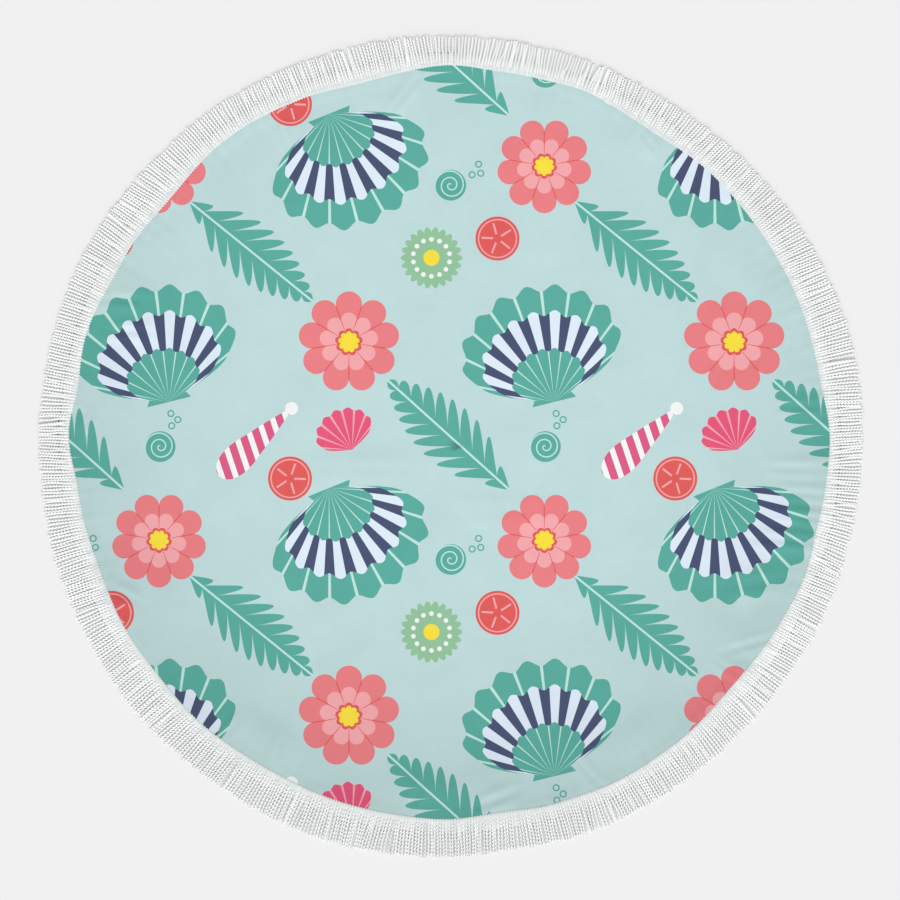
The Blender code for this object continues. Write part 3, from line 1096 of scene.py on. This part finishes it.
def decide_yarns():
    """For each yarn, one value in each row: root angle, how far its end leans, how much longer
    it is than the outline, how high it rides, its twist's start, its two bends, its tone, and
    how far from the others it leaves the heading."""
    chance = np.random.default_rng(FRINGE_SEED)
    roots = (np.arange(YARNS) + 0.5) * 360.0 / YARNS
    lean = np.zeros(YARNS)
    for middle, half_spread, shift in LEANS:
        lean += shift * MM * swell(turned(roots, middle), half_spread)
    start, middles = 0, []
    while start < YARNS:
        stop = min(YARNS, start + int(chance.integers(*CLUMP_SIZES)))
        clump = slice(start, stop)
        middles.append(roots[clump].mean())
        drawn = END_RADIUS * chance.uniform(0.0, CLING)
        lean[clump] += np.radians(middles[-1] - roots[clump]) * drawn
        start = stop
    clump_leans = CLUMP_LEAN * chance.normal(size=len(middles))
    lean += np.interp(roots, middles, clump_leans, period=360.0)
    lean += STRAY * chance.normal(size=YARNS)
    spare = chance.uniform(-SHORTEST, LONGEST, YARNS)
    ride = RIDE_UP * chance.uniform(0.0, 1.0, YARNS) ** 2
    crossing = chance.random(YARNS) < CROSSING_SHARE
    lean += crossing * chance.choice((-1, 1), YARNS) * chance.uniform(*CROSSING_LEAN, YARNS)
    ride += crossing * CROSSING_HEIGHT
    phase = np.cumsum(chance.normal(*TWIST_STEP, YARNS)) % math.pi - math.pi / 2
    bends = BEND * chance.normal(size=(2, YARNS))
    tone = np.clip(TONE[0] + TONE[1] * chance.normal(size=YARNS), 0.0, 1.0)
    # Painted shade: yarns at the towel's lower side get a greyer tone.
    side, half_spread, less = SHADED_LOWER_SIDE
    tone -= less * swell(turned(roots, side), half_spread)
    freed_at = FREED_SPREAD * chance.uniform(-1.0, 1.0, YARNS)
    return np.array([roots, lean, spare, ride, phase, *bends, tone, freed_at])


yarn_facts = decide_yarns()
tell_span("lean of the ends", yarn_facts[1])

# %% Lay the yarns
OVERHANG = 0.0014  # metres inside the seam, where a yarn's loop ends on the cloth
LEAN_BEND = 1.2  # a power of the share of its length, by which a yarn leans more at its end
FLATNESS = 0.75  # of a yarn that lies under its own weight
RIB_FLATNESS = 0.36  # of FLATNESS, of a yarn in the heading
RIB_AXIS = 0.0003  # metres above the heading's seat, at the seam
RIB_SLOPE = 0.0004  # metres lower at the yarns' line
RIB_CLIMB = 0.0018  # metres from its end, in which a rib comes up from the cloth
HALF_HEIGHT = FLATNESS * HALF_WIDTH
RIB_SHADE_TONE = 0.52  # painted shade: in the heading the yarns lie lower, so their tone is set a little darker
SHADE = 0.50  # how much of its tone a yarn loses at its lower side
SHADE_FADE = (-0.7, 0.8)  # shares of its height, between which the shade ends
FREED = (-0.011, 0.002)  # metres past the heading, in which a yarn takes its full height
SINK_BY = 0.030  # metres past the heading, where it has come down to the floor
RISE = (0.005, 0.022)  # metres past the heading, in which it climbs onto its neighbours


def lay_yarns(bm, first, count):
    """Moves each copy of the yarn to its own path. Returns each point's tone, with painted shade
    in it.
    """
    x, y, z = points_of(bm.verts)
    step = math.tau / YARNS
    number = np.round(np.arctan2(y, x) / step).astype(int)
    turn = number * step
    share = x * np.cos(turn) + y * np.sin(turn) - 1.0
    sideways = y * np.cos(turn) - x * np.sin(turn)
    facts = yarn_facts[:, first + number % count]
    roots, lean, spare, ride, phase, bend, sway, tone, freed_at = facts
    root_radius = around(seam_line, roots) - OVERHANG
    length = around(reach_line, roots) + spare - root_radius
    radius = root_radius + share * length
    past = radius - around(yarn_line, roots)
    freed = smooth_step(past - freed_at, *FREED)
    phase = phase * freed
    across = sideways * np.cos(phase) - z * np.sin(phase)
    up = (sideways * np.sin(phase) + z * np.cos(phase)) * FLATNESS
    up *= RIB_FLATNESS + (1.0 - RIB_FLATNESS) * freed
    drift = lean * share**LEAN_BEND + bend * np.sin(math.pi * share)
    drift += sway * np.sin(math.tau * share)
    along_rib = np.clip((radius - root_radius) / (radius - past - root_radius), 0.0, 1.0)
    climb = np.minimum(1.0, (radius - root_radius) / RIB_CLIMB)
    rib_height = around(rim_top, roots) + SEAT + RIB_AXIS * climb - RIB_SLOPE * along_rib
    down = smooth_step(past, 0.0, SINK_BY)
    axis_height = rib_height * (1.0 - down) + HALF_HEIGHT * down
    ridden = ride * smooth_step(past, *RISE)
    axis_height += ridden
    angles = roots + np.degrees((drift + across) / radius)
    move_points(bm, *from_polar(angles, radius), np.maximum(axis_height + up, 0.0))
    shade = SHADE * (1.0 - smooth_step((up + ridden) / HALF_HEIGHT, *SHADE_FADE))
    # Painted shade: in the heading a yarn takes the darker rib tone; past it, its own tone less
    # the shade of its lower side.
    return RIB_SHADE_TONE + (tone * (1.0 - shade) - RIB_SHADE_TONE) * freed


def copy_round(bm, count, total):
    """Copies a form to the first count of so many places on a circle."""
    bmesh.ops.spin(
        bm,
        geom=bm.verts[:] + bm.edges[:] + bm.faces[:],
        cent=(0.0, 0.0, 0.0),
        axis=(0.0, 0.0, 1.0),
        angle=math.tau * (count - 1) / total,
        steps=count - 1,
        use_duplicate=True,
    )


def fringe_quarter(quarter, material):
    count = YARNS // QUARTERS
    bm = one_yarn()
    copy_round(bm, count, YARNS)
    tones = lay_yarns(bm, quarter * count, count)
    piece = finished_piece("fringe_yarns_%d" % (quarter + 1), bm, material)
    piece.data.attributes.new("tone", "FLOAT", "POINT").data.foreach_set("value", tones)
    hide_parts("fringe_trim")
    return piece


# The tone attribute holds each yarn's own tone with painted shade in it: darker at its lower
# side, darker in the heading and greyer at the towel's lower side. The dark end of the range is
# reached mostly through this painted shade.
yarn, tree, shader = cotton(
    "bleached cotton yarn, two ply",
    "#B6BBBB",
    "#FBFDFC",
    lambda tree: add_node(tree, "Attribute", output="Fac", attribute_name="tone"),
)
roughen(tree, shader, soft_noise(tree, FIBRE_SIZE), FIBRE_DEPTH)
fringe = [fringe_quarter(quarter, yarn) for quarter in range(QUARTERS)]
faces = sum(len(piece.data.polygons) for piece in fringe)
print("fringe:", faces, "faces in", len(fringe), "pieces")

# %% [markdown]
# ## The stitches
# One row of lockstitch holds the heading to the cloth. Each stitch is a short thread that dips
# into the tape at both ends, so a long round form is enough, copied round by a spin.

# %% Sew the heading on
STITCHES = 1200
STITCH_LENGTH = 0.0029
THREAD = 0.00055
THREAD_PATCH = 0.004
STITCH_INSET = HEADING_SECTION[SEWN_AT][1] * MM
RIB_TOP = RIB_AXIS + RIB_FLATNESS * FLATNESS * PLY_RADIUS
ABOVE_RIBS = 0.2 * THREAD
LENGTHWAYS = Matrix.Rotation(math.pi / 2, 3, "X")


def stitches(material):
    bm = bmesh.new()
    bmesh.ops.create_uvsphere(bm, u_segments=8, v_segments=4, radius=0.5)
    bmesh.ops.rotate(bm, cent=(0.0, 0.0, 0.0), matrix=LENGTHWAYS, verts=bm.verts)
    bmesh.ops.scale(bm, vec=(THREAD, STITCH_LENGTH, THREAD), verts=bm.verts)
    bmesh.ops.translate(bm, vec=(1.0, 0.0, 0.0), verts=bm.verts)
    copy_round(bm, STITCHES, STITCHES)
    x, y, z = points_of(bm.verts)
    angles, radius = polar(x, y)
    seam, width = around(seam_line, angles), around(yarn_line - seam_line, angles)
    radius += seam + STITCH_INSET * np.minimum(1.0, width / FULL_WIDTH) - 1.0
    z += around(rim_top, angles) + SEAT + RIB_TOP + ABOVE_RIBS
    move_points(bm, *from_polar(angles, radius), z)
    return finished_piece("heading_stitches", bm, material)


thread, _, _ = cotton(
    "polyester sewing thread", "#E9EEEE", "#F6F8F8", lambda tree: soft_noise(tree, THREAD_PATCH)
)
seam_stitches = stitches(thread)
print("stitches:", STITCHES)

# %% [markdown]
# ## Floor, light and camera
# The towel lies on a plain pale floor. A very wide soft light stands above its lower edge, low
# enough for the folds to show, and an even pale sky fills the shadows. Both light the floor
# evenly, so it comes out as one plain tone. The camera hangs straight above with a long lens.

# %% Floor and light
FLOOR_COLOUR = linear("#E9E9E9")
FLOOR_REACH = 60.0  # metres, so that its edge looks like a level horizon
FLOOR_SIDES = 180
FLOOR_FINISH = {"Base Color": FLOOR_COLOUR, "Roughness": 0.95, "Specular IOR Level": 0.1}
SKY = 0.60
WHITE = (1.0, 1.0, 1.0, 1.0)
SUN_STRENGTH = 2.25
SUN_HEIGHT = math.radians(42)
SUN_ANGLE = math.radians(85)  # its width in the sky

scene = bpy.context.scene
bm = bmesh.new()
bmesh.ops.create_circle(bm, cap_ends=True, segments=FLOOR_SIDES, radius=FLOOR_REACH)
mesh = bpy.data.meshes.new("floor")
bm.to_mesh(mesh)
bm.free()
paint, _, shader = new_material("matt painted floor")
fill(shader, FLOOR_FINISH)
mesh.materials.append(paint)
floor = bpy.data.objects.new("floor", mesh)
scene.collection.objects.link(floor)

sun = bpy.data.lights.new("window light", "SUN")
sun.energy = SUN_STRENGTH
sun.angle = SUN_ANGLE
sun_lamp = bpy.data.objects.new("window light", sun)
sun_lamp.rotation_euler = (math.pi / 2 - SUN_HEIGHT, 0.0, 0.0)
scene.collection.objects.link(sun_lamp)

sky = bpy.data.worlds.new("pale sky")
sky.use_nodes = True
fill(sky.node_tree.nodes["Background"], {"Color": WHITE, "Strength": SKY})
scene.world = sky
scene.view_settings.view_transform = "Standard"
print("light on the floor: %.2f" % (SKY + SUN_STRENGTH * math.sin(SUN_HEIGHT) / math.pi))

# %% Camera
PICTURE_WIDTH = 1.636  # metres of floor across the picture
PICTURE_MIDDLE = (-0.0013, -0.0062)
LENS = 85.0  # millimetres
SENSOR = 36.0

eye = bpy.data.cameras.new("camera")
eye.lens = LENS
eye.sensor_width = SENSOR
camera = bpy.data.objects.new("camera", eye)
camera.location = (*PICTURE_MIDDLE, PICTURE_WIDTH * LENS / SENSOR)
scene.collection.objects.link(camera)
scene.camera = camera
print("camera %.2f m above the floor" % camera.location.z)
